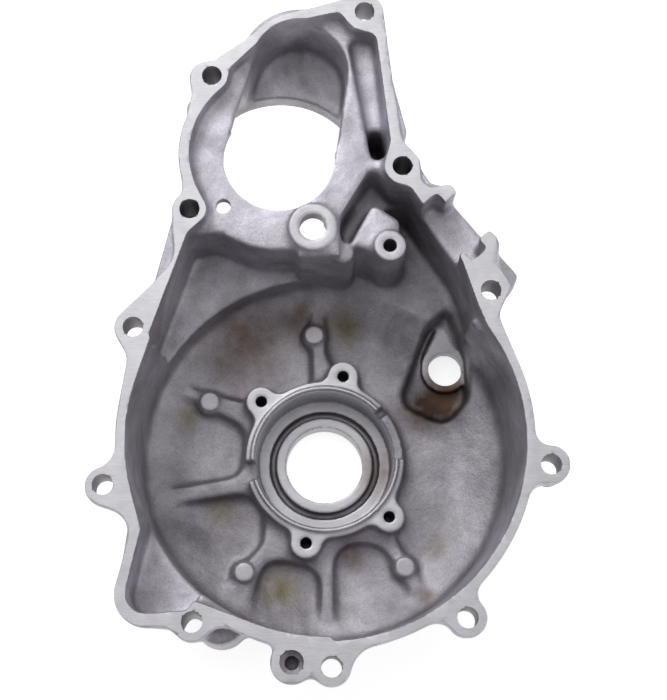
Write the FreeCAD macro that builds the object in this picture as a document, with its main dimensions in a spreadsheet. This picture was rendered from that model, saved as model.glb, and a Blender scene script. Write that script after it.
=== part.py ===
import FreeCAD, Part
import math
import os

from FreeCAD import Vector

doc = FreeCAD.newDocument("alternator_cover")
sheet = doc.addObject("Spreadsheet::Sheet", "Sizes")

# Sizes in millimetres and degrees
SIZES = [
    ("cover_height", 60.5, "outer face of the crank boss to the gasket face"),
    ("flange_thickness", 7.0, "gasket flange plate"),
    ("lug_length", 15.0, "bolt boss below the gasket face"),
    ("long_lug", 24.0, "bolt boss beside the starter housing"),
    ("lug_radius", 6.7, "bolt boss at the flange"),
    ("bolt_hole_radius", 3.6, "clearance hole for the cover screws"),
    ("wall", 4.0, "casting wall"),
    ("draft", 1.0, "casting draft, degrees"),
    ("land_width", 5.1, "gasket land round the bowl"),
    ("bowl_radius", 67.4, "bowl wall at the gasket face"),
    ("turned_radius", 69.0, "turned relief of the bowl wall"),
    ("bowl_foot", 66.0, "bowl wall at the floor"),
    ("bowl_depth", 43.0, "gasket face to the floor beside the wall"),
    ("bowl_fillet", 4.0, "bowl wall to floor"),
    ("rib_depth", 45.0, "gasket face to the rib tops"),
    ("floor_depth", 49.6, "gasket face to the floor between the ribs"),
    ("floor_slope_inner", 50.0, "radius where the floor slope ends"),
    ("floor_slope_outer", 62.0, "radius where the floor slope starts"),
    ("dome_shoulder", 62.0, "outside radius where the bowl turns under"),
    ("rib_reach", 61.5, "outer radius of the rib plateau"),
    ("rib_draft", 6.0, "draft of the rib sides, degrees"),
    ("ring_depth", 39.25, "gasket face to the stator seat"),
    ("ring_inner", 25.2, "register bore of the stator seat"),
    ("ring_outer", 29.0, "outside of the stator seat"),
    ("lip_outer", 26.8, "outside of the register lip"),
    ("lip_height", 0.8, "register lip above the stator seat"),
    ("stator_circle", 31.6, "radius of the stator screw circle"),
    ("stator_angle", 77.7, "first stator screw, degrees from X"),
    ("stator_step", 60.0, "angle between two neighbouring stator screws"),
    ("stator_boss", 5.7, "stator screw boss radius"),
    ("stator_hole", 2.15, "stator screw thread radius"),
    ("stator_hole_depth", 12.0, "stator screw hole"),
    ("seal_ledge_depth", 53.2, "gasket face to the ledge inside the ring"),
    ("seal_ledge_inner", 20.4, "inner radius of that ledge"),
    ("groove_depth", 56.0, "gasket face to the oil groove"),
    ("shoulder_radius", 18.0, "outside of the crank hole collar"),
    ("shoulder_depth", 52.5, "gasket face to the collar face"),
    ("crank_hole_radius", 14.2, "crank inspection hole"),
    ("crank_boss_radius", 27.0, "outer boss of the crank hole"),
    ("starter_x", -16.9, "starter axis"),
    ("starter_y", 104.0, "starter axis"),
    ("starter_recess", 32.0, "radius of the starter seat, from outside"),
    ("starter_cavity", 28.5, "radius of the hollow behind the starter floor"),
    ("starter_hole", 20.2, "radius of the hole for the starter nose"),
    ("starter_floor_depth", 6.0, "gasket face to the starter floor"),
    ("starter_plate", 4.0, "thickness of the starter floor"),
    ("starter_depth", 37.0, "gasket face to the open end of the starter seat"),
    ("arch_x", -9.5, "gear arch centre"),
    ("arch_y", 138.0, "gear arch centre"),
    ("arch_radius", 17.4, "gear arch"),
    ("arch_depth", 28.5, "gasket face to the arch shelf"),
    ("arch_shelf", 6.5, "thickness of the arch shelf"),
    ("shelf_depth", 33.0, "gasket face to the three-cornered shelf"),
    ("corner_depth", 22.0, "gasket face to the corner pocket floor"),
    ("well_depth", 43.0, "gasket face to the floor of the wire well"),
    ("channel_depth", 24.0, "gasket face to the floor of the wire channel"),
    ("slot_depth", 10.0, "slot beside the gear arch"),
    ("idle_x", -4.6, "idle gear pin"),
    ("idle_y", 77.4, "idle gear pin"),
    ("idle_boss", 8.9, "idle gear boss radius"),
    ("idle_hole", 4.9, "idle gear pin hole radius"),
    ("idle_depth", 4.0, "gasket face to the idle boss face"),
    ("idle_hole_length", 9.5, "length of the idle pin hole"),
    ("idle_relief", 6.5, "radius of the relief behind the idle pin hole"),
    ("post_x", 23.0, "wire guide screw boss"),
    ("post_y", 71.6, "wire guide screw boss"),
    ("post_radius", 5.8, "wire guide screw boss radius"),
    ("post_hole", 2.5, "wire guide screw thread radius"),
    ("post_depth", 7.5, "gasket face to the screw boss face"),
    ("timing_x", 45.3, "timing hole"),
    ("timing_y", 36.4, "timing hole"),
    ("timing_hole", 6.3, "timing hole radius"),
    ("timing_boss", 11.5, "outer boss of the timing hole"),
    ("timing_seat", 8.2, "radius of the plug seat, from outside"),
    ("timing_hole_length", 5.0, "land to the plug seat"),
    ("timing_land_depth", 51.0, "gasket face to the land round the timing hole"),
    ("timing_well_depth", 54.5, "gasket face to the timing well floor"),
    ("pin_radius", 3.7, "ejector pin mark"),
    ("pin_height", 0.5, "ejector pin mark above the ribs"),
    ("notch_x", 45.4, "middle of the grommet slot"),
    ("notch_y", 76.2, "middle of the grommet slot"),
    ("notch_length", 26.8, "grommet slot, along the wall"),
    ("notch_width", 7.0, "grommet slot, across the wall"),
    ("notch_neck", 17.6, "grommet neck"),
    ("notch_depth", 14.0, "grommet slot below the gasket face"),
    ("notch_angle", -49.8, "grommet slot direction, degrees"),
    ("plug_radius", 4.1, "counterbore beside the lower bolt hole"),
    ("plug_thread", 2.4, "thread in that counterbore"),
    ("plug_depth", 4.0, "depth of that counterbore"),
    ("plug_thread_depth", 11.0, "gasket face to the end of that thread"),
    ("small_x", -36.8, "dowel hole in the starter floor"),
    ("small_y", 85.5, "dowel hole in the starter floor"),
    ("small_hole", 2.8, "dowel hole radius"),
]
for row, (alias, value, note) in enumerate(SIZES, start=1):
    sheet.set("A%d" % row, alias)
    sheet.set("B%d" % row, str(value))
    sheet.set("C%d" % row, note)
    sheet.setAlias("B%d" % row, alias)
doc.recompute()


def size(alias):
    return float(sheet.get(alias))


# Bolt holes of the gasket flange: x and y
BOLTS = {
    "b1": (14.0, 158.6),
    "b2": (-41.3, 133.2),
    "b3": (-48.4, 82.5),
    "b4": (-67.2, 39.2),
    "b5": (-76.1, -16.4),
    "b6": (-44.8, -62.9),
    "b8": (2.1, -77.6),
    "b9": (47.8, -61.3),
    "b10": (77.4, -9.0),
    "b11": (58.0, 53.0),
    "b12": (27.3, 99.0),
}
PLUG = (-11.3, -76.2)


def tangent(first, second):
    """Line touching two directed circles (x, y, r), r below zero for a hollow arc."""
    dx = second[0] - first[0]
    dy = second[1] - first[1]
    far = math.hypot(dx, dy)
    share = (first[2] - second[2]) / far
    if abs(abs(share) - 1.0) < 1e-6:
        touch = (first[0] + dx / far * abs(first[2]), first[1] + dy / far * abs(first[2]))
        return touch, touch
    if abs(share) > 1.0:
        raise ValueError("one arc lies inside its neighbour: %s %s" % (first, second))
    way = math.atan2(dy, dx) + math.asin(share)
    side = (math.sin(way), -math.cos(way))
    start = (first[0] + first[2] * side[0], first[1] + first[2] * side[1])
    end = (second[0] + second[2] * side[0], second[1] + second[2] * side[1])
    return start, end


def blend(first, second, radius):
    """Centre of the hollow arc that touches two bulging arcs from outside."""
    far = math.hypot(second[0] - first[0], second[1] - first[1])
    one = first[2] + radius
    two = second[2] + radius
    along = (one * one - two * two + far * far) / (2.0 * far)
    off = math.sqrt(max(one * one - along * along, 0.0))
    ux = (second[0] - first[0]) / far
    uy = (second[1] - first[1]) / far
    return (first[0] + along * ux + off * uy, first[1] + along * uy - off * ux, -radius)


def belt(items):
    """Closed run of arcs and tangent lines round circles, counter-clockwise; a number is a blend."""
    circles = []
    count = len(items)
    for i, item in enumerate(items):
        if isinstance(item, tuple):
            circles.append(item)
        else:
            circles.append(blend(items[i - 1], items[(i + 1) % count], item))
    lines = [tangent(circles[i], circles[(i + 1) % count]) for i in range(count)]
    shapes = []
    for i, (cx, cy, r) in enumerate(circles):
        begin = lines[i - 1][1]
        finish = lines[i][0]
        if abs(r) > 1e-6 and math.dist(begin, finish) > 1e-4:
            a0 = math.atan2(begin[1] - cy, begin[0] - cx)
            a1 = math.atan2(finish[1] - cy, finish[0] - cx)
            if r < 0:
                a0, a1 = a1, a0
            while a1 <= a0:
                a1 += 2.0 * math.pi
            if a1 - a0 > 1.5 * math.pi:
                raise ValueError("an arc turns the wrong way: %s" % ((cx, cy, r),))
            circle = Part.Circle(Vector(cx, cy, 0), Vector(0, 0, 1), abs(r))
            shapes.append(Part.ArcOfCircle(circle, a0, a1))
        if math.dist(lines[i][0], lines[i][1]) > 1e-4:
            shapes.append(Part.LineSegment(Vector(*lines[i][0], 0), Vector(*lines[i][1], 0)))
    return shapes


def outline(name, items, level):
    """Sketch of a belt, at a depth below the gasket face."""
    sketch = doc.addObject("Sketcher::SketchObject", name)
    sketch.addGeometry(belt(items), False)
    sketch.setExpression("Placement.Base.z", "Sizes.cover_height - (%s)" % level)
    return sketch


def sink(name, sketch, length, taper="0"):
    """Solid from a sketch downwards."""
    solid = doc.addObject("Part::Extrusion", name)
    solid.Base = sketch
    solid.DirMode = "Custom"
    solid.Dir = Vector(0, 0, -1)
    solid.Solid = True
    solid.setExpression("LengthFwd", length)
    solid.setExpression("TaperAngle", taper)
    return solid


def post(name, x, y, radius, top, length):
    """Round post or hole, given from its top downwards."""
    solid = doc.addObject("Part::Cylinder", name)
    solid.setExpression("Radius", radius)
    solid.setExpression("Height", length)
    solid.setExpression("Placement.Base.x", x)
    solid.setExpression("Placement.Base.y", y)
    solid.setExpression("Placement.Base.z", "Sizes.cover_height - (%s) - (%s)" % (top, length))
    return solid


def profile(corners):
    """Closed run of lines whose corners (x, y) or (x, y, radius) are rounded by tangent arcs."""
    joints = []
    count = len(corners)
    for i, corner in enumerate(corners):
        here = corner[:2]
        if len(corner) == 2:
            joints.append((here, here, None))
            continue
        before = corners[i - 1]
        after = corners[(i + 1) % count]
        one = Vector(before[0] - here[0], before[1] - here[1], 0).normalize()
        two = Vector(after[0] - here[0], after[1] - here[1], 0).normalize()
        half = one.getAngle(two) / 2.0
        start = Vector(*here, 0) + one * (corner[2] / math.tan(half))
        end = Vector(*here, 0) + two * (corner[2] / math.tan(half))
        centre = Vector(*here, 0) + (one + two).normalize() * (corner[2] / math.sin(half))
        middle = centre + (Vector(*here, 0) - centre).normalize() * corner[2]
        joints.append(((start.x, start.y), (end.x, end.y), middle))
    shapes = []
    for i, (start, end, middle) in enumerate(joints):
        if middle is not None:
            shapes.append(Part.Arc(Vector(*start, 0), middle, Vector(*end, 0)))
        follow = joints[(i + 1) % count][0]
        if math.dist(end, follow) > 1e-4:
            shapes.append(Part.LineSegment(Vector(*end, 0), Vector(*follow, 0)))
    return shapes


def turned(name, corners, start=0.0, sweep=360.0):
    """Solid of revolution about the crank axis, from (radius, depth) corners."""
    sketch = doc.addObject("Sketcher::SketchObject", name + "Profile")
    height = size("cover_height")
    lifted = [(corner[0], height - corner[1]) + tuple(corner[2:]) for corner in corners]
    sketch.addGeometry(profile(lifted), False)
    spin = FreeCAD.Rotation(Vector(0, 0, 1), start)
    stand = FreeCAD.Rotation(Vector(1, 0, 0), 90)
    sketch.Placement = FreeCAD.Placement(Vector(0, 0, 0), spin.multiply(stand))
    solid = doc.addObject("Part::Revolution", name)
    solid.Source = sketch
    solid.Axis = Vector(0, 0, 1)
    solid.Base = Vector(0, 0, 0)
    solid.Angle = sweep
    solid.Solid = True
    return solid


def fuse(name, parts):
    whole = doc.addObject("Part::MultiFuse", name)
    whole.Shapes = parts
    whole.Refine = False
    return whole


def cut(name, base, tool):
    left = doc.addObject("Part::Cut", name)
    left.Base = base
    left.Tool = tool
    left.Refine = False
    return left


# Values used by the outlines
bowl = size("bowl_radius")
wall = size("wall")
lug = size("lug_radius")
edge = bowl + size("land_width")
sx = size("starter_x")
sy = size("starter_y")
seat = size("starter_recess")
barrel = seat + wall
ax = size("arch_x")
ay = size("arch_y")
arch = size("arch_radius")


def at(name, radius, dx=0.0, dy=0.0):
    x, y = BOLTS[name]
    return (x + dx, y + dy, radius)


# Gasket flange, seen from the gasket side
FLANGE = [
    at("b8", lug), 10.0, (0.0, 0.0, edge), 6.0,
    at("b9", lug), 5.0, (0.0, 0.0, edge), 6.0,
    at("b10", lug), 5.0, (0.0, 0.0, edge),
    (67.5, 44.0, -6.5), (64.3, 54.6, 1.0), (69.0, 64.5, -8.3),
    (57.8, 71.3, 3.0), (59.5, 88.5, -12.6), (43.3, 89.3, 3.0), 5.0,
    at("b12", lug), (33.8, 112.5, -7.3),
    at("b1", lug + 0.3), (ax, ay, arch + 2.6), (-38.5, 144.8, -5.0),
    at("b2", lug, -1.5, -1.0), (-51.8, 124.2, -4.0), (sx, sy, barrel), 6.0,
    at("b3", lug - 0.4), (-65.0, 67.5, -11.7),
    at("b4", lug), (-76.5, 27.5, -7.3), (0.0, 0.0, edge), 8.0,
    at("b5", lug, 0.5, -0.5), (-76.0, -33.5, -9.2),
    (-60.0, -53.5, 11.3), 8.0,
    at("b6", lug), 6.0, (0.0, 0.0, edge), 2.0,
    (PLUG[0], PLUG[1], lug + 0.6), 2.5,
]

# Inner edge of the gasket land
INNER = [
    (0.0, 0.0, bowl), (51.6, 46.0, 2.0), (45.3, 64.5, 0.0), (36.0, 80.0, 0.0),
    (33.0, 82.3, -3.6), (30.0, 87.6, 0.0),
    at("b12", -lug), (20.4, 108.4, 2.5), (14.5, 146.5, 3.8),
    at("b1", -lug - 1.0), (4.2, 156.5, 1.5), (ax, ay, arch - 1.0), (-33.6, 135.2, 1.3),
    at("b2", 0.6 - lug), (sx, sy, seat - 0.2),
    at("b3", 0.5 - lug), (-47.2, 72.8, 1.8), (0.0, 0.0, bowl + 1.3),
    (-78.0, -33.5, -15.5), (-60.4, -53.2, 6.7), at("b6", -lug - 0.4),
]

# Outside of the casting
def cell(text):
    return " ".join("Sizes." + word if word in NAMES else word for word in text.split())


NAMES = [alias for alias, value, note in SIZES]
depth = {alias: size(alias) for alias in NAMES}
floor = depth["floor_depth"]

flange = sink("Flange", outline("FlangeOutline", FLANGE, "0"), cell("flange_thickness"))
SHIFT = {"b2": (-1.5, -1.0), "b5": (0.5, -0.5)}
LONG = ("b2", "b3", "b12")
lugs = []
for name, (x, y) in BOLTS.items():
    dx, dy = SHIFT.get(name, (0.0, 0.0))
    length = cell("long_lug - 0.5") if name in LONG else cell("lug_length - 0.5")
    lugs.append(post("Lug_" + name, str(x + dx), str(y + dy), cell("lug_radius - 0.8"), "0.5", length))
lugs.append(post(
    "Lug_plug", str(PLUG[0]), str(PLUG[1]), cell("lug_radius - 0.2"), "0.5", cell("lug_length - 0.5"),
))

skin = floor + wall + 1.4
dome = turned("Dome", [
    (0.0, 0.5), (edge - 1.5, 0.5), (depth["bowl_foot"] + wall, depth["bowl_depth"] + 1.0, 9.0),
    (depth["dome_shoulder"], floor + 1.9, 12.0), (depth["dome_shoulder"] - 18.0, skin), (0.0, skin),
])
crank_boss = post(
    "CrankBoss", "0", "0", cell("crank_boss_radius"), cell("shoulder_depth - 4"),
    cell("cover_height - shoulder_depth + 4"),
)
timing_boss = post(
    "TimingBoss", cell("timing_x"), cell("timing_y"), cell("timing_boss"), cell("bowl_depth"),
    cell("cover_height - bowl_depth"),
)

TOP = [
    (57.5, 40.0, 3.0), (57.0, 68.5, 3.0), (50.0, 77.0, 0.0), (42.5, 88.0, 2.0),
    5.0, at("b12", lug - 0.6), (33.8, 112.5, -8.0), (16.0, 157.0, 4.5), (ax, ay, arch + 1.9),
    at("b2", lug - 2.2, -1.5, -1.0), (sx, sy, barrel - 0.8), (-46.0, 72.0, 4.0),
    (-20.0, 58.0, 10.0),
]
plate = sink("TopPlate", outline("TopPlateOutline", TOP, "0"), cell("starter_floor_depth + starter_plate"))
barrel_out = post(
    "Barrel", cell("starter_x"), cell("starter_y"), cell("starter_recess + wall - 0.3"), "0.5",
    cell("starter_depth - 0.5"),
)
ARCH_OUT = [(ax, ay, arch + 4.3), (sx, sy, depth["starter_hole"] + 4.0)]
arch_out = sink(
    "ArchHousing", outline("ArchHousingOutline", ARCH_OUT, "0.5"),
    cell("arch_depth + arch_shelf - 0.5"),
)
SHELF_OUT = [
    (-20.0, 60.0, 6.0), (-20.0, 74.0, 4.0), at("b3", lug - 1.6), (-57.5, 42.0, 6.0), (-45.0, 30.0, 6.0),
]
shelf_out = sink(
    "ShelfHousing", outline("ShelfHousingOutline", SHELF_OUT, "0.5"), cell("shelf_depth + wall - 0.5"),
)
WELL_OUT = [
    (53.5, 44.0, 4.0), (48.5, 64.5, 4.0), (38.0, 82.0, 5.0), at("b12", lug - 1.4), (17.0, 111.0, 7.0),
    (12.0, 104.0, 7.0), (0.0, 78.0, 9.0), (0.0, 45.0, 9.0),
]
well_out = sink(
    "WellHousing", outline("WellHousingOutline", WELL_OUT, "0.5"), cell("well_depth + wall - 0.5"),
)
DUCT_OUT = [
    (57.0, 66.0, 4.0), (58.5, 70.0, 3.0), (52.0, 78.0, 3.0), (44.0, 88.5, 2.5), (36.0, 90.0, 3.0),
    (40.0, 62.0, 4.0),
]
duct_out = sink("DuctHousing", outline("DuctHousingOutline", DUCT_OUT, "0.5"), cell("notch_depth + wall"))
BLOCK_OUT = [(64.8, 55.6, 1.0), (67.4, 60.3, 1.3), (60.8, 68.0, 1.3), (55.0, 68.0, 2.0), (61.8, 57.5, 1.0)]
block_out = sink("DuctBlock", outline("DuctBlockOutline", BLOCK_OUT, "7.5"), "13")
CORNER_OUT = [(-60.0, -53.0, 10.0), (-45.0, -57.0, 7.0), (-45.0, -40.0, 10.0), (-58.0, -30.0, 9.0)]
corner_out = sink(
    "CornerHousing", outline("CornerHousingOutline", CORNER_OUT, "0.5"),
    cell("corner_depth + wall - 0.5"),
)
TIMING_OUT = [
    (46.5, 57.0, 4.5), (36.0, 50.0, 5.0), (35.5, 26.0, 12.0), (43.5, 22.6, 12.0), (50.0, 26.0, 9.5),
    (54.5, 42.0, 4.0),
]
timing_out = sink(
    "TimingHousing", outline("TimingHousingOutline", TIMING_OUT, "30"),
    cell("timing_well_depth + wall - 30"), cell("0 - 4 * draft"),
)
SLOT_OUT = [(24.0, 112.0, 5.0), (15.5, 146.0, 5.0), (8.0, 146.0, 5.0), (8.0, 112.0, 5.0)]
slot_out = sink(
    "SlotHousing", outline("SlotHousingOutline", SLOT_OUT, "0.5"), cell("slot_depth + wall - 0.5"),
)
bump = post("BumpBoss", "-36.0", "-60.3", "9.6", "9", "24")
bump_top = post("BumpBossTop", "-45.5", "123.8", "5.6", "9", "15")

outside = fuse("Outside", [flange] + lugs + [
    dome, crank_boss, timing_boss, plate, barrel_out, arch_out, shelf_out, well_out, corner_out, bump,
    bump_top, timing_out, slot_out, duct_out, block_out,
])

# Hollows seen from the gasket side
inner = sink("Inside", outline("InsideOutline", INNER, "-1"), cell("starter_floor_depth + 1"))
f = depth["bowl_fillet"]


def bowl_corners(radius):
    return [
        (0.0, -1.0), (radius, -1.0), (radius, 0.0), (depth["bowl_foot"], depth["bowl_depth"], f),
        (depth["floor_slope_outer"], depth["rib_depth"] - 0.6, 10.0),
        (depth["floor_slope_inner"], floor, 6.0), (0.0, floor),
    ]


bowl_a = turned("Bowl", bowl_corners(bowl))
bowl_b = turned("BowlRelief", bowl_corners(depth["turned_radius"]), -88.0, 124.0)
bowl_c = turned("BowlLeft", bowl_corners(bowl + 1.3), 148.0, 48.0)
CORNER = [(-60.4, -53.2, 6.7), (-47.5, -57.5, 1.5), (-40.0, -40.0, 5.0), (-57.5, -30.0, 4.5)]
corner = sink("CornerPocket", outline("CornerPocketOutline", CORNER, "-1"), cell("corner_depth + 1"))
SHELF = [(-15.0, 50.0, 5.0), (-10.0, 78.0, 0.0), (-47.3, 73.0, 1.6), (-60.5, 36.5, 1.0), (-40.0, 30.0, 5.0)]
shelf_all = sink("ShelfBlock", outline("ShelfOutline", SHELF, "-1"), cell("shelf_depth + 1"))
shelf_keep = post(
    "StarterWall", cell("starter_x"), cell("starter_y"), cell("starter_recess + wall - 1"), "-2",
    cell("shelf_depth + 4"),
)
shelf = cut("Shelf", shelf_all, shelf_keep)
WELL = [
    (51.6, 46.0, 2.0), (46.0, 63.0, 2.0), (35.5, 79.0, 2.0), (27.5, 87.5, 4.0),
    at("b12", -lug - 0.3), (17.0, 97.0, 2.4), (7.0, 81.5, 2.0), (8.0, 60.0, 3.0), (8.0, 45.0, 3.0),
]
channel = sink("WireChannel", outline("WireChannelOutline", WELL, "-1"), cell("channel_depth + 1"))
WELL_DEEP = [
    (51.6, 46.0, 2.0), (46.0, 63.0, 2.0), (35.5, 79.0, 2.0), (27.5, 87.5, 4.0), (22.0, 88.0, 2.0),
    (15.5, 76.0, 3.0), (8.0, 60.0, 3.0), (8.0, 45.0, 3.0),
]
well = sink("WireWell", outline("WireWellOutline", WELL_DEEP, "-1"), cell("well_depth + 1"))
SLOT = [(20.2, 106.5, 2.2), (14.6, 147.0, 3.4), (11.5, 147.5, 3.0), (17.8, 105.0, 1.6)]
slot = sink("Slot", outline("SlotOutline", SLOT, "-1"), cell("slot_depth + 1"))
SLOT_DEEP = [(20.2, 106.5, 2.2), (18.6, 114.0, 2.0), (16.6, 114.0, 1.6), (18.0, 105.0, 1.6)]
slot_deep = sink("SlotDeep", outline("SlotDeepOutline", SLOT_DEEP, "-1"), cell("shelf_depth + 1"))
ARCH = [(ax, ay, arch), (sx, sy, depth["starter_hole"])]
arch_in = sink("Arch", outline("ArchOutline", ARCH, "-1"), cell("arch_depth + 1"), cell("0 - draft"))
hollows = fuse(
    "Hollows", [inner, bowl_a, bowl_b, bowl_c, corner, shelf, channel, well, slot, slot_deep, arch_in],
)
shell = cut("Shell", outside, hollows)

# Stator seat, ribs and bosses inside
RING = []
rim = depth["ring_outer"]
for k in (0.0, 1.0, 3.0, 4.0):
    a = math.radians(depth["stator_angle"] + k * depth["stator_step"])
    RING += [(0.0, 0.0, rim), 4.0]
    RING += [
        (depth["stator_circle"] * math.cos(a), depth["stator_circle"] * math.sin(a), depth["stator_boss"]),
        4.0,
    ]
ring = sink(
    "StatorSeat", outline("StatorSeatOutline", RING, cell("ring_depth")),
    cell("groove_depth - ring_depth"), cell("draft"),
)
lip = post("RegisterLip", "0", "0", cell("lip_outer"), cell("ring_depth - lip_height"), "5")
disc = post("RibPlateau", "0", "0", cell("rib_reach"), cell("rib_depth"), cell("floor_depth - rib_depth + 1"))

POCKETS = {
    "PocketNW": [
        (-12.0, 60.0, 7.0), (-40.0, 62.0, 3.0), (-62.0, 40.0, 3.0), (-44.0, 35.0, 9.0),
        (-20.0, 22.0, 2.0), (-9.3, 31.0, 4.8),
    ],
    "PocketW": [(-53.0, 16.0, 8.2), (-58.0, -3.0, 7.5), (-36.2, 0.0, 6.5), (-36.2, 8.5, 7.2)],
    "PocketSW": [
        (-31.0, -21.3, 9.3), (-50.0, -20.5, 5.5), (-64.0, -30.0, 2.0), (-48.0, -56.0, 2.0),
        (-29.0, -27.5, 7.0),
    ],
    "PocketS": [
        (-16.5, -43.8, 7.6), (-24.6, -50.0, 1.6), (-24.0, -66.0, 2.0), (-4.0, -68.0, 2.0),
        (-9.0, -45.5, 7.8),
    ],
    "PocketSE": [
        (11.5, -38.2, 8.3), (14.3, -54.0, 11.0), (14.0, -68.0, 3.0), (30.0, -66.0, 3.0),
        (24.5, -53.0, 8.7), (14.5, -40.5, 10.8),
    ],
    "PocketE": [
        (6.0, 55.0, 6.2), (6.2, 43.0, 6.2), (14.0, 10.0, 0.0), (22.0, -21.0, 0.0), (31.8, -29.8, 4.6),
        (42.0, -41.5, 7.5), (58.0, -48.0, 3.0), (70.0, 0.0, 3.0), (60.0, 60.0, 3.0), (8.0, 68.0, 3.0),
    ],
}
pockets = []
for name, items in POCKETS.items():
    pockets.append(sink(
        name, outline(name + "Outline", items, cell("rib_depth - 0.2")),
        cell("floor_depth - rib_depth + 2"), cell("0 - rib_draft"),
    ))
ribs = cut("Ribs", disc, fuse("Pockets", pockets))
PINS = {"e1": (-4.0, 47.8), "e2": (-42.6, 22.2), "e3": (-29.1, -40.9), "e4": (29.2, -38.9)}
pins = []
for name, (x, y) in PINS.items():
    pins.append(post("Pin_" + name, str(x), str(y), cell("pin_radius"), cell("rib_depth - pin_height"), "4"))
    pins.append(post("PinBoss_" + name, str(x), str(y), cell("pin_radius + 0.9"), cell("rib_depth"), "4"))
idle = post(
    "IdleBoss", cell("idle_x"), cell("idle_y"), cell("idle_boss"), cell("idle_depth"),
    cell("rib_depth - idle_depth + 0.7"),
)
idle_pad = post("IdlePad", "6.2", "69.5", "4.1", "9", cell("rib_depth - 8.3"))
wire_post = post(
    "WirePost", cell("post_x"), cell("post_y"), cell("post_radius"), cell("post_depth"),
    cell("well_depth - post_depth + 1"),
)
WEB = [(24.5, 80.5, 2.2), (17.8, 85.2, 2.2), (11.5, 74.0, 2.0), (22.0, 71.0, 3.0)]
web = sink("WireWeb", outline("WireWebOutline", WEB, "9.5"), cell("well_depth - 8.5"), cell("2 * draft"))
inside = fuse("InsideForms", [shell, ring, lip, ribs, idle, idle_pad, wire_post, web] + pins)

# Cuts that go through
seal = turned("SealBore", [
    (0.0, 30.0), (depth["ring_inner"] + 0.8, 30.0),
    (depth["ring_inner"] + 0.8, depth["ring_depth"] - depth["lip_height"]),
    (depth["ring_inner"], depth["ring_depth"] - depth["lip_height"] + 0.8),
    (depth["ring_inner"] - 0.5, depth["seal_ledge_depth"]),
    (depth["seal_ledge_inner"], depth["seal_ledge_depth"]),
    (depth["seal_ledge_inner"] - 0.3, depth["groove_depth"]),
    (depth["shoulder_radius"], depth["groove_depth"]), (depth["shoulder_radius"], depth["shoulder_depth"]),
    (0.0, depth["shoulder_depth"]),
])
crank_hole = post("CrankHole", "0", "0", cell("crank_hole_radius"), "30", cell("cover_height - 29"))
cavity = post(
    "StarterCavity", cell("starter_x"), cell("starter_y"), cell("starter_cavity"),
    cell("starter_floor_depth + starter_plate"), "60",
)
recess = post(
    "StarterSeat", cell("starter_x"), cell("starter_y"), cell("starter_recess"), cell("arch_depth - 1"),
    "60",
)
nose = post("StarterHole", cell("starter_x"), cell("starter_y"), cell("starter_hole"), "0", "30")
timing_hole = post("TimingHole", cell("timing_x"), cell("timing_y"), cell("timing_hole"), "30", "40")
plug_seat = post(
    "TimingSeat", cell("timing_x"), cell("timing_y"), cell("timing_seat"),
    cell("timing_land_depth + timing_hole_length"), "20",
)
TIMING_WELL = [
    (46.5, 58.0, 1.6), (39.5, 49.5, 4.0), (35.5, 26.0, 8.5), (43.5, 22.6, 8.8), (48.0, 26.0, 7.5),
    (51.0, 39.0, 4.0),
]
timing_well_all = sink(
    "TimingWellBlock", outline("TimingWellOutline", TIMING_WELL, "30"), cell("timing_well_depth - 30"),
    "-6",
)
land_a = post(
    "TimingLandPost", cell("timing_x"), cell("timing_y"), cell("timing_hole + 2.6"),
    cell("timing_land_depth"), "6",
)
LAND = [(45.8, 57.5, 1.2), (39.6, 40.0, 3.0), (51.5, 39.0, 4.0)]
land_b = sink("TimingLandFin", outline("TimingLandOutline", LAND, cell("timing_land_depth")), "6")
timing_well = cut("TimingWell", timing_well_all, fuse("TimingLand", [land_a, land_b]))
idle_back = post(
    "IdleRelief", cell("idle_x"), cell("idle_y"), cell("idle_relief"),
    cell("idle_depth + idle_hole_length"), "60",
)
holes = [seal, crank_hole, cavity, recess, nose, idle_back, timing_hole, plug_seat, timing_well]
for name, (x, y) in BOLTS.items():
    holes.append(post(
        "Hole_" + name, str(x), str(y), cell("bolt_hole_radius"), "-1", cell("lug_length + 40"),
    ))
holes.append(post("PlugBore", str(PLUG[0]), str(PLUG[1]), cell("plug_radius"), "-1", cell("plug_depth + 1")))
holes.append(post(
    "PlugThread", str(PLUG[0]), str(PLUG[1]), cell("plug_thread"), "-1", cell("plug_thread_depth + 1"),
))
holes.append(post(
    "IdleHole", cell("idle_x"), cell("idle_y"), cell("idle_hole"), "0",
    cell("idle_depth + idle_hole_length + 1"),
))
holes.append(post("PostHole", cell("post_x"), cell("post_y"), cell("post_hole"), "0", "22"))
holes.append(post("SmallHole", cell("small_x"), cell("small_y"), cell("small_hole"), "0", "30"))
for k in (0.0, 1.0, 3.0, 4.0):
    a = "( stator_angle + %g * stator_step )" % k
    holes.append(post(
        "StatorHole_%d" % k, cell("stator_circle * cos( %s * 1deg )" % a),
        cell("stator_circle * sin( %s * 1deg )" % a),
        cell("stator_hole"), cell("ring_depth - 1"), cell("stator_hole_depth + 1"),
    ))

# Grommet slot: a wide seat with a neck through the wall
middle = Vector(depth["notch_x"], depth["notch_y"], 0)
turn = FreeCAD.Rotation(Vector(0, 0, 1), depth["notch_angle"])


long_half = depth["notch_length"] / 2.0
wide_half = depth["notch_width"] / 2.0
neck_half = depth["notch_neck"] / 2.0
along = turn.multVec(Vector(1, 0, 0))
across = turn.multVec(Vector(0, 1, 0))


def notch_box(name, half_long, half_wide, shift):
    corners = []
    for i, j in ((-1, -1), (1, -1), (1, 1), (-1, 1)):
        spot = middle + along * (i * (half_long - 1.2)) + across * (j * (half_wide - 1.2) + shift)
        corners.append((spot.x, spot.y, 1.2))
    return sink(name, outline(name + "Outline", corners, "-1"), cell("notch_depth + 1"))


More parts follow.
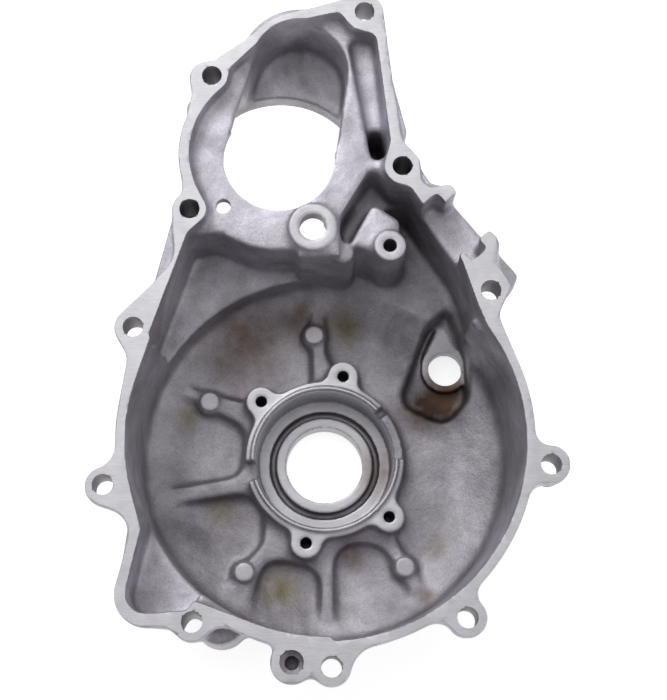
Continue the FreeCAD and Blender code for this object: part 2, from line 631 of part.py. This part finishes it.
holes.append(notch_box("GrommetSeat", long_half, wide_half, 0.0))
holes.append(notch_box("GrommetNeck", neck_half, 12.0, 0.0))

# Gaps in the stator seat
holes.append(turned(
    "SeatGapLeft", [(24.0, 30.0), (32.0, 30.0), (32.0, depth["rib_depth"]), (24.0, depth["rib_depth"])],
    182.0, 15.0,
))
holes.append(turned("SeatGapRight", [
    (20.0, 30.0), (32.0, 30.0), (32.0, depth["ring_depth"] + 1.5), (20.0, depth["ring_depth"] + 1.5),
], 0.0, 43.0))
holes.append(turned(
    "SeatNotchRight",
    [(24.0, 30.0), (30.0, 30.0), (30.0, depth["ring_depth"] + 4.0), (24.0, depth["ring_depth"] + 4.0)],
    37.0, 6.0,
))

by_name = {hole.Name: hole for hole in holes}
GROUPS = {
    "CrankCuts": ["SealBore", "CrankHole", "SeatGapLeft", "SeatGapRight", "SeatNotchRight"],
    "TimingCuts": ["TimingHole", "TimingSeat", "TimingWell"],
    "StarterCuts": ["StarterCavity", "StarterSeat", "StarterHole", "IdleRelief"],
    "GrommetCuts": ["GrommetSeat", "GrommetNeck"],
    "BoltHoles": ["Hole_" + name for name in BOLTS],
    "StatorHoles": ["StatorHole_%d" % k for k in (0, 1, 3, 4)],
}
casting = inside
for group, names in GROUPS.items():
    casting = cut("After" + group, casting, fuse(group, [by_name.pop(name) for name in names]))
casting = cut("Casting", casting, fuse("ScrewHoles", list(by_name.values())))
casting.Label = "alternator_cover"
doc.recompute()

PIECES = [casting]
for thing in doc.Objects:
    if "Invalid" in thing.State or "Error" in thing.State:
        raise RuntimeError("%s did not build: %s" % (thing.Name, thing.State))
os.makedirs("parts", exist_ok=True)
for piece in PIECES:
    shape = piece.Shape
    if shape.isNull() or not shape.isValid() or len(shape.Solids) != 1:
        raise RuntimeError("%s is not one sound solid (%d)" % (piece.Label, len(shape.Solids)))
for piece in PIECES:
    shape = piece.Shape
    box = shape.BoundBox
    shape.exportStep("parts/%s.step" % piece.Label)
    print(
        piece.Label, len(shape.Faces), "faces", round(shape.Volume), "mm3",
        [round(v, 1) for v in (box.XMin, box.XMax, box.YMin, box.YMax, box.ZMin, box.ZMax)]
    )
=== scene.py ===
import math

import bmesh
import bpy
import numpy as np
from mathutils import Matrix, Vector


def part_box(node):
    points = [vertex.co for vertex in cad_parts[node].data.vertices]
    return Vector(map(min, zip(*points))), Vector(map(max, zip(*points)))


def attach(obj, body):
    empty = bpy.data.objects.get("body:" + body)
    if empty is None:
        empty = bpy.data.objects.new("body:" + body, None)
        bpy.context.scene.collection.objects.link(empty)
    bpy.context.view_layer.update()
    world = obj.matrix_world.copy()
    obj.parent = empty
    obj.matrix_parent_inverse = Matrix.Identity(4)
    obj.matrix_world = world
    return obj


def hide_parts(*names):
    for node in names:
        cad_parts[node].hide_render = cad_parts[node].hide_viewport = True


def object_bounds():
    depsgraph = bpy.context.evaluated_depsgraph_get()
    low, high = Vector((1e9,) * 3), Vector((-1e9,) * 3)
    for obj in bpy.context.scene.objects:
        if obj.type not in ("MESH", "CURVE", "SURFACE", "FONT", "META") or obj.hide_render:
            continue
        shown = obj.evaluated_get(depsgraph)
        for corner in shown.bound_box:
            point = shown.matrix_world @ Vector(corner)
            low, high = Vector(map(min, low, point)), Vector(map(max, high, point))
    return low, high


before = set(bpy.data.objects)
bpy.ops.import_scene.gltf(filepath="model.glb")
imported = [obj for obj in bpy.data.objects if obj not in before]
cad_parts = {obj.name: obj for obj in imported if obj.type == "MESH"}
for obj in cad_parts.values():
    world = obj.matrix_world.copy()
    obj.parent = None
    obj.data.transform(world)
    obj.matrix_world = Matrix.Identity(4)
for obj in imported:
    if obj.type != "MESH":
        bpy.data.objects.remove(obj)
cad_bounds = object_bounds()

MM = 0.001
CASTING = "alternator_cover"

# Heights of the machined faces, in metres
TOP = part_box(CASTING)[1].z
RING_TOP = TOP - 39.25 * MM
LIP_TOP = TOP - 38.45 * MM
LEDGE_TOP = TOP - 53.2 * MM
COLLAR_TOP = TOP - 52.5 * MM
LAND_TOP = TOP - 51.0 * MM
IDLE_TOP = TOP - 4.0 * MM
POST_TOP = TOP - 7.5 * MM

# Axes of the round features, in millimetres
CRANK = (0.0, 0.0)
BOLTS = [
    (14.0, 158.6), (-41.3, 133.2), (-48.4, 82.5), (-67.2, 39.2), (-76.1, -16.4), (-44.8, -62.9),
    (2.1, -77.6), (47.8, -61.3), (77.4, -9.0), (58.0, 53.0), (27.3, 99.0),
]
PLUG = (-11.3, -76.2)
SMALL = (-36.8, 85.5)
STARTER = (-16.9, 104.0)
IDLE = (-4.6, 77.4)
POST = (23.0, 71.6)
TIMING = (45.3, 36.4)
PINS = [(-4.0, 47.8), (-42.6, 22.2), (-29.1, -40.9), (29.2, -38.9)]
SEAT_SCREWS = [(6.73, 30.88), (-23.37, 21.27), (-6.73, -30.88), (23.37, -21.27)]

# Post that closes a slit which the solid has in its side wall: axis, foot, head and radius, in millimetres
GAP_FILL = ((-62.65, 36.5), 21.5, 47.5, 1.7)
GAP_FILL_SIDES = 24
WELD = 0.002 * MM

# Round holes: axis, radius, and how deep the wall starts and ends, in millimetres
BORES = [(spot, 3.6, 0.0, 20.0) for spot in BOLTS] + [(spot, 2.15, 39.3, 50.0) for spot in SEAT_SCREWS] + [
    (PLUG, 4.1, 0.0, 4.0),
    (PLUG, 2.4, 4.0, 11.0),
    (SMALL, 2.8, 6.0, 12.0),
    (IDLE, 4.9, 4.0, 13.5),
    (POST, 2.5, 7.5, 20.0),
    (TIMING, 6.3, 51.0, 56.0),
    (STARTER, 20.2, 6.0, 10.0),
    (CRANK, 14.2, 52.5, 60.5),
]
BORE_SNAP = 0.45
BORE_START_SLACK = 0.1
BORE_END_SLACK = 0.3

# Open ends of a zone's range of distances or depths, in millimetres
NO_HOLE = -1.0
SURFACE = -1.0
BOTTOM = 100.0

# Zones that keep their machined form: axes, inner and outer distance from the nearest axis, depths
# between which the zone lies, in millimetres, and how freely the skin still rounds off there
FIRM_ZONES = [
    ([CRANK], NO_HOLE, 30.3, 37.0, 41.0, 0.05),
    (SEAT_SCREWS, NO_HOLE, 6.4, 37.0, 41.0, 0.05),
    ([CRANK], NO_HOLE, 26.3, 37.0, BOTTOM, 0.05),
    (BOLTS + [PLUG], NO_HOLE, 4.6, SURFACE, 20.0, 0.05),
    ([SMALL], NO_HOLE, 4.0, SURFACE, 18.0, 0.05),
    ([POST], NO_HOLE, 4.2, SURFACE, 18.0, 0.05),
    ([IDLE], NO_HOLE, 6.2, SURFACE, 18.0, 0.05),
    ([IDLE], NO_HOLE, 10.0, SURFACE, 5.2, 0.1),
    ([POST], NO_HOLE, 7.0, SURFACE, 8.4, 0.15),
    ([STARTER], 18.6, 21.8, SURFACE, 12.0, 0.08),
    ([TIMING], NO_HOLE, 9.2, 49.5, BOTTOM, 0.08),
    (SEAT_SCREWS, NO_HOLE, 3.2, 37.0, 53.0, 0.05),
    (PINS, NO_HOLE, 4.6, 42.0, 46.0, 0.12),
]
FLANGE_DEPTH = 0.9
FREE_SPAN = 2.2
LEAST_FREE = 0.03

# Edges that the thinning leaves whole, in millimetres: the milled face's, the holes' and the stator ring's
FACE_EDGE = (0.05, 0.75)
HOLE_EDGE_REACH = 0.7
HOLE_EDGE_ABOVE = 0.3
HOLE_EDGE_BELOW = 2.2
RING_EDGE = ([CRANK], 24.4, 30.2, 37.6, 40.2)

# Relaxing the skin: share of the way to the neighbours' middle in one round, the part of it that a
# rounded-off edge takes, rounds between new normals, and how the rim of the milled face is evened out
RELAX_STEP = 0.5
EDGE_SHARE = 0.28
NORMAL_ROUNDS = 6
RIM_DEPTH = 1.0
RIM_STEP = 0.4
RIM_ROUNDS = 14

# Heads of the pins on the ribs: depths between which their skin lies, lift, radius and edge, in millimetres
PIN_DEPTHS = (43.8, 46.5)
PIN_LIFT = 0.9
PIN_RADIUS = 3.9
PIN_EDGE = 0.4

FINE = (0.55, 80)
MOST_TRIANGLES = 185000
SHARP_ANGLE = math.radians(50.0)

# Level faces that are machined: height, axis, inner and outer distance in millimetres, brightness
LEVEL = 0.9
FACE_SLACK = 0.25
TOP_SLACK = 0.12
MILLED_FACES = [
    (RING_TOP, CRANK, NO_HOLE, 39.0, 1.0),
    (LIP_TOP, CRANK, NO_HOLE, 29.0, 1.0),
    (COLLAR_TOP, CRANK, NO_HOLE, 18.6, 0.9),
    (LEDGE_TOP, CRANK, 20.0, 26.0, 0.8),
    (IDLE_TOP, IDLE, NO_HOLE, 9.2, 0.6),
    (POST_TOP, POST, NO_HOLE, 6.0, 0.3),
    (LAND_TOP, TIMING, NO_HOLE, 26.0, 0.5),
]
PIN_HEADS = (PINS, NO_HOLE, 3.5, 42.0, 45.0)
PIN_BRIGHTNESS = 0.55
# Bored walls: zone as above, how far their normal may lean up or down, brightness
BORED_WALLS = [
    (([CRANK], 24.0, 26.4, 38.0, 53.0), 0.5, 0.9),
    (([CRANK], NO_HOLE, 14.8, 52.0, BOTTOM), 0.5, 0.9),
    (([STARTER], 19.5, 20.9, 6.3, 11.0), 0.3, 0.4),
    (([IDLE], NO_HOLE, 5.4, SURFACE, BOTTOM), 0.5, 0.8),
    (([POST], NO_HOLE, 3.0, SURFACE, BOTTOM), 0.5, 0.8),
    (([TIMING], NO_HOLE, 6.8, SURFACE, BOTTOM), 0.5, 0.8),
    ((BOLTS, NO_HOLE, 4.1, SURFACE, 15.0), 0.6, 0.6),
]

# Oil and heat stains, with painted shade over the deep well by the timing hole: place and reach in
# millimetres, strength, tint
OLIVE = (0.15, 0.125, 0.055, 1.0)
BROWN = (0.12, 0.07, 0.045, 1.0)
# Dark tint of soot, also used as painted shade in the deep well by the timing hole
SOOT_AND_WELL_SHADE = (0.035, 0.022, 0.018, 1.0)
FLOOR_Z = 11.5
STAIN_STRENGTH = 1.9
STAINS_AND_WELL_SHADE = [
    ((7.6, 52.0, FLOOR_Z), 12.0, 0.8, OLIVE),
    ((-8.0, 56.0, FLOOR_Z), 14.0, 0.7, BROWN),
    ((-51.0, 17.0, FLOOR_Z), 9.0, 0.6, OLIVE),
    ((-38.0, -17.0, FLOOR_Z), 10.0, 0.6, OLIVE),
    ((-16.0, -46.0, FLOOR_Z), 13.0, 0.75, OLIVE),
    ((10.4, -34.0, FLOOR_Z), 10.0, 0.65, BROWN),
    ((36.5, -50.0, FLOOR_Z + 3.0), 6.0, 0.8, BROWN),
    ((41.0, -31.0, FLOOR_Z), 9.0, 0.35, OLIVE),
    # Soot and oil over the deep well by the timing hole, darkened further as painted shade of that well
    ((41.0, 22.0, 7.0), 17.0, 1.3, SOOT_AND_WELL_SHADE),
    ((46.0, 28.0, 8.0), 13.0, 1.0, BROWN),
    ((-30.0, 46.0, FLOOR_Z), 26.0, 0.75, BROWN),
    ((20.5, -3.0, 6.0), 15.0, 0.6, BROWN),
    ((57.0, 50.0, 20.0), 10.0, 0.5, OLIVE),
    ((33.0, 20.0, FLOOR_Z), 12.0, 0.5, BROWN),
]

# Depths below the milled face, in millimetres, between which the cast skin turns from dark (painted shade
# and dirt) to bright (painted light and clean metal)
SHADED_DIRTY_DEPTH = 46.0
LIT_CLEAN_DEPTH = 4.0
METALLIC = 0.85
CAST_ROUGHNESS = 0.56
MILLED_ROUGHNESS = 0.52
# Reach of the painted shade and dirt in inside corners, in metres
CORNER_SHADE_REACH = 0.014

# Camera of the photograph, in the object's frame
CAMERA_PLACE = Vector((-0.0055, -0.1196, 0.6591))
CAMERA_RIGHT = Vector((0.99991, 0.0, 0.01361))
CAMERA_AHEAD = Vector((0.01320, 0.24397, -0.96969))
FOCAL_PIXELS = 1776.1
PHOTO_WIDTH = 667
SENSOR = 36.0
FAR_CLIP = 20.0

# Lamps: place, side in metres, power in watts; the world's light on the object; the floor, in metres
LAMPS = {
    "key": ((-0.6, 1.3, 1.2), 0.7, 10.5),
    "top": ((-0.25, 0.75, 1.85), 1.7, 14.5),
    "fill": ((1.5, -0.3, 1.0), 0.9, 6.0),
}
LAMP_AIM = Vector((0.0, 0.04, 0.03))
WORLD_LIGHT = 0.26
FLOOR_REACH = 6.0
FLOOR_GAP = 0.02 * MM


def camera():
    data = bpy.data.cameras.new("camera")
    data.sensor_fit = "HORIZONTAL"
    data.sensor_width = SENSOR
    data.lens = SENSOR * FOCAL_PIXELS / PHOTO_WIDTH
    data.clip_end = FAR_CLIP
    obj = bpy.data.objects.new("camera", data)
    ahead = CAMERA_AHEAD.normalized()
    right = (CAMERA_RIGHT - ahead * CAMERA_RIGHT.dot(ahead)).normalized()
    up = right.cross(ahead)
    turn = Matrix((right, up, -ahead)).transposed().to_4x4()
    obj.matrix_world = Matrix.Translation(CAMERA_PLACE) @ turn
    bpy.context.scene.collection.objects.link(obj)
    bpy.context.scene.camera = obj


def away(place, spot):
    """Distance of each point from an axis, in millimetres."""
    return np.hypot(place[:, 0] / MM - spot[0], place[:, 1] / MM - spot[1])


def nearest(place, spots):
    """Distance of each point from the nearest of some axes, in millimetres."""
    return np.min([away(place, spot) for spot in spots], axis=0)


def depth(place):
    """How far each point lies below the milled face, in millimetres."""
    return (TOP - place[:, 2]) / MM


def in_zone(place, spots, inner, outer, start, end):
    """Points between two distances from the nearest axis and between two depths."""
    far = nearest(place, spots)
    deep = depth(place)
    return (far > inner) & (far < outer) & (deep > start) & (deep < end)


def points(mesh):
    """Places of a mesh's points, one row each."""
    place = np.empty(len(mesh.vertices) * 3)
    mesh.vertices.foreach_get("co", place)
    return place.reshape(-1, 3)


def set_points(mesh, place):
    mesh.vertices.foreach_set("co", place.ravel())
    mesh.update()


def true_bores(place):
    """Brings the walls of the drilled holes back to their round form."""
    for spot, radius, start, end in BORES:
        wall = in_zone(place, [spot], radius - BORE_SNAP, radius + BORE_SNAP,
                       start - BORE_START_SLACK, end - BORE_END_SLACK)
        middle = np.array(spot) * MM
        share = radius / away(place[wall], spot)
        place[wall, :2] = middle + (place[wall, :2] - middle) * share[:, None]


def kept_whole(place):
    """Points the thinning leaves alone: edges of the milled face, of the holes and of the stator ring."""
    keep = (depth(place) > FACE_EDGE[0]) & (depth(place) < FACE_EDGE[1])
    for spot, radius, start, _ in BORES:
        keep |= in_zone(place, [spot], radius - HOLE_EDGE_REACH, radius + HOLE_EDGE_REACH,
                        start - HOLE_EDGE_ABOVE, start + HOLE_EDGE_BELOW)
    return keep | in_zone(place, *RING_EDGE)


def stiffness(place):
    """How freely the skin may round off at each point: 1 as cast, near 0 where machined."""
    free = np.clip((depth(place) - FLANGE_DEPTH) / FREE_SPAN, 0.0, 1.0)
    for *zone, share in FIRM_ZONES:
        free[in_zone(place, *zone)] = share
    return np.maximum(free, LEAST_FREE)


def raise_pins(place):
    """Lifts the heads of the pins clear of the ribs."""
    far = nearest(place, PINS)
    deep = depth(place)
    head = (deep > PIN_DEPTHS[0]) & (deep < PIN_DEPTHS[1])
    place[head, 2] += PIN_LIFT * MM * np.clip((PIN_RADIUS - far[head]) / PIN_EDGE, 0.0, 1.0)


def relax(mesh, rounds):
    """Rounds the cast edges and fills the inside corners like the fillets of a casting."""
    place = points(mesh)
    count = len(place)
    ends = np.empty(len(mesh.edges) * 2, dtype=np.int64)
    mesh.edges.foreach_get("vertices", ends)
    one, two = ends[0::2], ends[1::2]
    joins = np.maximum(np.bincount(one, minlength=count) + np.bincount(two, minlength=count), 1)
    free = stiffness(place)
    rim = depth(place) < RIM_DEPTH
    raise_pins(place)
    normal = np.empty(count * 3)
    for turn in range(rounds):
        if turn % NORMAL_ROUNDS == 0:
            set_points(mesh, place)
            mesh.vertex_normals.foreach_get("vector", normal)
            way = normal.reshape(count, 3)
        middle = np.empty_like(place)
        for axis in range(3):
            along = place[:, axis]
            total = np.bincount(one, along[two], count) + np.bincount(two, along[one], count)
            middle[:, axis] = total / joins
        step = middle - place
        hollow = np.einsum("ij,ij->i", step, way) > 0.0
        give = RELAX_STEP * free * np.where(hollow, 1.0, EDGE_SHARE)
        give[rim] = RIM_STEP if turn < RIM_ROUNDS else 0.0
        step *= give[:, None]
        step[rim, 2] = 0.0
        place += step
    place[:, 2] = np.minimum(place[:, 2], TOP)
    true_bores(place)
    set_points(mesh, place)
    return place


def settled(obj, name):
    """Mesh of an object with its modifiers applied."""
    graph = bpy.context.evaluated_depsgraph_get()
    mesh = bpy.data.meshes.new_from_object(obj.evaluated_get(graph))
    mesh.name = name
    obj.modifiers.clear()
    obj.data = mesh
    return mesh


def solid_mesh():
    """Copy of the solid's mesh, welded, with the post that closes its slit."""
    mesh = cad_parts[CASTING].data.copy()
    mesh.materials.clear()
    form = bmesh.new()
    form.from_mesh(mesh)
    bmesh.ops.remove_doubles(form, verts=form.verts, dist=WELD)
    spot, low, high, radius = GAP_FILL
    bmesh.ops.create_cone(
        form, cap_ends=True, segments=GAP_FILL_SIDES, radius1=radius * MM, radius2=radius * MM,
        depth=(high - low) * MM,
        matrix=Matrix.Translation((spot[0] * MM, spot[1] * MM, (low + high) / 2.0 * MM)))
    form.to_mesh(mesh)
    form.free()
    return mesh


def casting_form(voxel, rounds):
    """The casting with cast fillets, made from the solid by remeshing and relaxing its skin."""
    obj = bpy.data.objects.new("casting", solid_mesh())
    bpy.context.scene.collection.objects.link(obj)
    remesh = obj.modifiers.new("skin", "REMESH")
    remesh.mode = "VOXEL"
    remesh.voxel_size = voxel * MM
    place = relax(settled(obj, "casting_skin"), rounds)
    count = 2 * len(obj.data.polygons)
    if count > MOST_TRIANGLES:
        group = obj.vertex_groups.new(name="thin")
        group.add(np.flatnonzero(~kept_whole(place)).tolist(), 1.0, "REPLACE")
        thin = obj.modifiers.new("thin", "DECIMATE")
        thin.ratio = MOST_TRIANGLES / count
        thin.vertex_group = group.name
        settled(obj, "casting_thin")
    # Rounding puts a few points microns outside the solid's box
    set_points(obj.data, np.clip(points(obj.data), *(np.array(corner) for corner in cad_bounds)))
    obj.data.shade_smooth()
    obj.data.set_sharp_from_angle(angle=SHARP_ANGLE)
    steady = obj.modifiers.new("steady", "WEIGHTED_NORMAL")
    steady.keep_sharp = True
    return obj


def paint(mesh):
    """Marks each face with how brightly it is machined, from 0 as cast to 1."""
    count = len(mesh.polygons)
    middle = np.empty(count * 3)
    mesh.polygons.foreach_get("center", middle)
    middle = middle.reshape(count, 3)
    normal = np.empty(count * 3)
    mesh.polygons.foreach_get("normal", normal)
    up = normal.reshape(count, 3)[:, 2]
    level = up > LEVEL
    machined = (level & (np.abs(middle[:, 2] - TOP) < TOP_SLACK * MM)).astype(float)
    for height, spot, inner, outer, share in MILLED_FACES:
        face = level & (np.abs(middle[:, 2] - height) < FACE_SLACK * MM)
        machined[face & in_zone(middle, [spot], inner, outer, SURFACE, BOTTOM)] = share
    machined[level & in_zone(middle, *PIN_HEADS)] = PIN_BRIGHTNESS
    for zone, lean, share in BORED_WALLS:
        machined[in_zone(middle, *zone) & (np.abs(up) < lean)] = share
    totals = np.empty(count, dtype=np.int64)
    mesh.polygons.foreach_get("loop_total", totals)
    layer = mesh.attributes.new("machined", "FLOAT", "CORNER")
    layer.data.foreach_set("value", np.repeat(machined, totals))


def feed(tree, socket, value):
    """Links an output to an input, or sets the input's own value."""
    if isinstance(value, bpy.types.NodeSocket):
        tree.links.new(value, socket)
    else:
        socket.default_value = value


def node(tree, kind, numbered=None, **named):
    """New node, with values or links for its numbered and named inputs, and values for its settings."""
    made = tree.nodes.new(kind)
    for key, value in named.items():
        if key in made.inputs:
            feed(tree, made.inputs[key], value)
        else:
            setattr(made, key, value)
    for number, value in (numbered or {}).items():
        feed(tree, made.inputs[number], value)
    return made


def empty_tree(owner):
    """Node tree of a material or world, cleared."""
    owner.use_nodes = True
    owner.node_tree.nodes.clear()
    return owner.node_tree


def maths(tree, operation, one, two, clamp=False):
    made = node(tree, "ShaderNodeMath", {0: one, 1: two}, operation=operation, use_clamp=clamp)
    return made.outputs[0]


def map_range(tree, value, source, target=(0.0, 1.0), kind="LINEAR"):
    """Value moved from one range to another."""
    limits = {"From Min": source[0], "From Max": source[1], "To Min": target[0], "To Max": target[1]}
    return node(tree, "ShaderNodeMapRange", interpolation_type=kind, Value=value, **limits).outputs[0]


def ramp(tree, value, *stops):
    """Colours or greys by value."""
    made = node(tree, "ShaderNodeValToRGB", Fac=value)
    elements = made.color_ramp.elements
    while len(elements) < len(stops):
        elements.new(0.5)
    for element, (spot, colour) in zip(elements, stops):
        element.position = spot
        element.color = (*colour, 1.0) if isinstance(colour, tuple) else (colour, colour, colour, 1.0)
    return made.outputs["Color"]


def mix(tree, share, one, two):
    return node(tree, "ShaderNodeMix", data_type="RGBA", numbered={0: share, 6: one, 7: two}).outputs[2]


def times(tree, one, two):
    """Product of two colours."""
    return node(tree, "ShaderNodeMix", data_type="RGBA", blend_type="MULTIPLY",
                numbered={0: 1.0, 6: one, 7: two}).outputs[2]


def noise(tree, where, scale, detail, rough, bend=0.0):
    return node(tree, "ShaderNodeTexNoise", Vector=where, Scale=scale, Detail=detail, Roughness=rough,
                Distortion=bend).outputs["Fac"]


def cast_colour(tree, where):
    """Mottled grey of the cast skin, brighter and cleaner towards the milled face as painted light, darker
    and dirtier deeper down as painted shade.
    """
    colour = ramp(tree, noise(tree, where, 62.0, 8.0, 0.68),
                  (0.34, (0.285, 0.275, 0.3)), (0.5, (0.37, 0.36, 0.39)), (0.68, (0.455, 0.445, 0.475)))
    smear = ramp(tree, noise(tree, where, 30.0, 5.0, 0.6, 1.2), (0.35, (0.78, 0.76, 0.76)), (0.6, 1.08))
    grain = ramp(tree, noise(tree, where, 1500.0, 3.0, 0.6), (0.32, 0.84), (0.5, 1.0), (0.7, 1.1))
    height = node(tree, "ShaderNodeSeparateXYZ", {0: where}).outputs["Z"]
    # Painted light and shade with dirt: the skin is brighter near the milled face and darker deeper down
    lit_and_clean_share = map_range(tree, height, (TOP - SHADED_DIRTY_DEPTH * MM, TOP - LIT_CLEAN_DEPTH * MM))
    lift = ramp(tree, lit_and_clean_share, (0.0, (0.96, 0.95, 0.96)), (0.45, (1.3, 1.3, 1.32)), (1.0, (1.5, 1.49, 1.53)))
    return times(tree, times(tree, times(tree, colour, smear), grain), lift)


def milled_colour(tree, where):
    """Bright metal with the fine streaks of a cutter."""
    colour = ramp(tree, noise(tree, where, 90.0, 5.0, 0.6),
                  (0.3, (0.50, 0.495, 0.52)), (0.7, (0.60, 0.595, 0.62)))
    streak = node(tree, "ShaderNodeMapping", Vector=where, Scale=(220.0, 2600.0, 220.0),
                  Rotation=(0.0, 0.0, 0.6)).outputs[0]
    lines = ramp(tree, noise(tree, streak, 1.0, 3.0, 0.6), (0.3, (0.90, 0.90, 0.905)), (0.6, 1.03))
    return times(tree, colour, lines)


def stained_and_shaded(tree, where, colour):
    """Colour with the oil and heat stains over it, and painted shade over the deep well by the timing hole.
    """
    blotch = noise(tree, where, 140.0, 6.0, 0.65)
    for spot, reach, strength, tint in STAINS_AND_WELL_SHADE:
        middle = [value * MM for value in spot]
        far = node(tree, "ShaderNodeVectorMath", {0: where, 1: middle}, operation="DISTANCE")
        near = map_range(tree, far.outputs["Value"], (0.0, reach * MM), (1.0, 0.0), "SMOOTHSTEP")
        broken = maths(tree, "MULTIPLY", near, blotch, True)
        share = maths(tree, "MULTIPLY", broken, strength * STAIN_STRENGTH, True)
        colour = mix(tree, share, colour, tint)
    return colour


def skin_normal(tree, where, machined):
    """Fine and broad casting grain, which the machined faces don't have."""
    broad = node(tree, "ShaderNodeBump", Strength=0.35, Distance=0.0008,
                 Height=noise(tree, where, 260.0, 3.0, 0.5)).outputs["Normal"]
    fine = node(tree, "ShaderNodeBump", Strength=0.5, Distance=0.0003,
                Height=noise(tree, where, 1500.0, 4.0, 0.65), Normal=broad).outputs["Normal"]
    plain = node(tree, "ShaderNodeNewGeometry").outputs["Normal"]
    return node(tree, "ShaderNodeMix", data_type="VECTOR",
                numbered={0: machined, 4: fine, 5: plain}).outputs[1]


def casting_material():
    """Grey cast aluminium with bright milled faces."""
    material = bpy.data.materials.new("cast_aluminium")
    tree = empty_tree(material)
    where = node(tree, "ShaderNodeTexCoord").outputs["Object"]
    machined = node(tree, "ShaderNodeAttribute", attribute_name="machined").outputs["Fac"]
    colour = mix(tree, machined, cast_colour(tree, where), milled_colour(tree, where))
    # Painted shade and dirt: the base colour darkens in inside corners, from ambient occlusion
    corner = node(tree, "ShaderNodeAmbientOcclusion", samples=8, Distance=CORNER_SHADE_REACH).outputs["AO"]
    corner_shade_and_dirt = ramp(tree, corner, (0.08, (0.52, 0.49, 0.485)), (0.55, 1.0))
    shader = node(tree, "ShaderNodeBsdfPrincipled", Metallic=METALLIC,
                  **{"Base Color": times(tree, stained_and_shaded(tree, where, colour), corner_shade_and_dirt)},
                  Roughness=ramp(tree, machined, (0.0, CAST_ROUGHNESS), (1.0, MILLED_ROUGHNESS)),
                  Normal=skin_normal(tree, where, machined))
    node(tree, "ShaderNodeOutputMaterial", Surface=shader.outputs[0])
    return material


def casting():
    obj = casting_form(*FINE)
    paint(obj.data)
    obj.data.materials.append(casting_material())
    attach(obj, "root")
    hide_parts(CASTING)


def floor_material():
    """Pale floor that reads white to the camera and keeps a faint shadow."""
    material = bpy.data.materials.new("floor")
    tree = empty_tree(material)
    path = node(tree, "ShaderNodeLightPath").outputs
    seen = maths(tree, "MAXIMUM", path["Is Camera Ray"], path["Is Glossy Ray"])
    seen = maths(tree, "MAXIMUM", seen, path["Is Transmission Ray"])
    plain = node(tree, "ShaderNodeBsdfDiffuse", Color=(0.55, 0.55, 0.56, 1.0)).outputs[0]
    glow = node(tree, "ShaderNodeEmission", Color=(1.0, 1.0, 1.0, 1.0), Strength=0.8).outputs[0]
    both = node(tree, "ShaderNodeAddShader", {0: plain, 1: glow}).outputs[0]
    shown = node(tree, "ShaderNodeMixShader", {0: seen, 1: plain, 2: both}).outputs[0]
    node(tree, "ShaderNodeOutputMaterial", Surface=shown)
    return material


def floor():
    mesh = bpy.data.meshes.new("floor")
    reach = FLOOR_REACH
    corners = [(-reach, -reach, 0), (reach, -reach, 0), (reach, reach, 0), (-reach, reach, 0)]
    mesh.from_pydata(corners, [], [(0, 1, 2, 3)])
    obj = bpy.data.objects.new("floor", mesh)
    obj.location.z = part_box(CASTING)[0].z - FLOOR_GAP
    mesh.materials.append(floor_material())
    bpy.context.scene.collection.objects.link(obj)


def backdrop():
    """World that is white to the camera and a weak light to the object."""
    world = bpy.data.worlds.new("world")
    tree = empty_tree(world)
    seen = node(tree, "ShaderNodeLightPath").outputs["Is Camera Ray"]
    strength = map_range(tree, seen, (0.0, 1.0), (WORLD_LIGHT, 1.0))
    background = node(tree, "ShaderNodeBackground", Color=(1.0, 1.0, 1.0, 1.0), Strength=strength)
    node(tree, "ShaderNodeOutputWorld", Surface=background.outputs[0])
    bpy.context.scene.world = world


def lamp(name, place, side, power):
    data = bpy.data.lights.new(name, "AREA")
    data.shape = "SQUARE"
    data.size = side
    data.energy = power
    obj = bpy.data.objects.new(name, data)
    obj.location = place
    obj.rotation_euler = (LAMP_AIM - Vector(place)).to_track_quat("-Z", "Y").to_euler()
    bpy.context.scene.collection.objects.link(obj)


bpy.context.scene.view_settings.view_transform = "Standard"
camera()
floor()
backdrop()
for name, values in LAMPS.items():
    lamp(name, *values)
casting()
